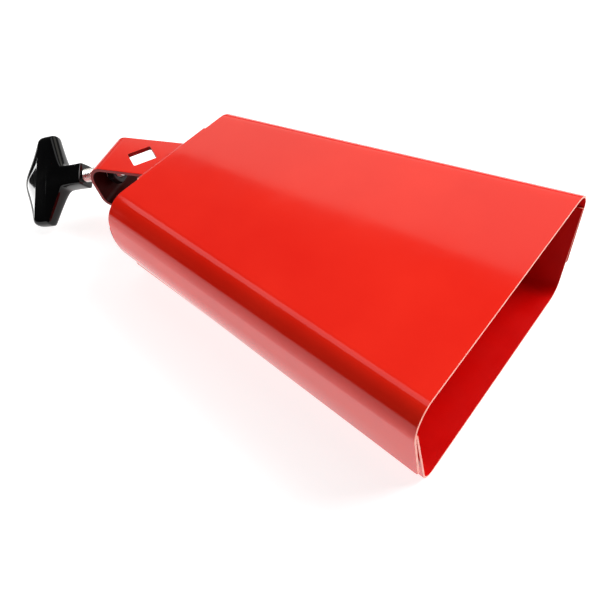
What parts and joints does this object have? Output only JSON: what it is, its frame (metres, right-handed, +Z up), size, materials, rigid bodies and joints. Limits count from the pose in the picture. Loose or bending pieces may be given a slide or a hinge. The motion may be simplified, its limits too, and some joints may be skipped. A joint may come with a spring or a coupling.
{
  "type": "cowbell",
  "caption": "Drum-kit cowbell of folded red sheet steel with an open mouth, a welded rod bracket on its closed end and a black T-handle clamp screw.",
  "frame": {"origin": "middle of the bell's flat underside, which lies on z = 0", "axes": "+X along the bell from its closed end to its mouth, +Y across the bell, +Z up"},
  "size_m": [0.2998, 0.1604, 0.0626],
  "materials": {
    "red_paint": "gloss red paint on sheet steel",
    "painted_weld": "gloss red paint over a weld bead",
    "bracket_paint": "gloss red paint on strap steel",
    "black_steel": "black oxide, satin",
    "zinc_steel": "bright zinc plate",
    "black_plastic": "moulded gloss black"
  },
  "bodies": {
    "bell": {"upper_shell": "red_paint", "lower_shell": "red_paint", "end_weld_left": "painted_weld", "end_weld_right": "painted_weld", "mounting_bracket": "bracket_paint", "bracket_weld_upper": "painted_weld", "bracket_weld_lower": "painted_weld", "clamp_nut": "black_steel"},
    "screw": {"clamp_screw": "zinc_steel"},
    "handle": {"t_handle": "black_plastic"}
  },
  "joints": [
    {"name": "screw_advance", "type": "slide", "parent": "bell", "child": "screw", "axis": [-0.8884, -0.3607, -0.284], "range_m": [-0.01, 0.0025]},
    {"name": "handle_turn", "type": "hinge", "parent": "screw", "child": "handle", "pos_m": [-0.18196, -0.02975, 0.0212], "axis": [-0.8884, -0.3607, -0.284], "range_deg": [-2880, 720]}
  ],
  "couplings": [
    {"joint": "screw_advance", "follows": "handle_turn", "m_per_rad": 0.00019894}
  ]
}
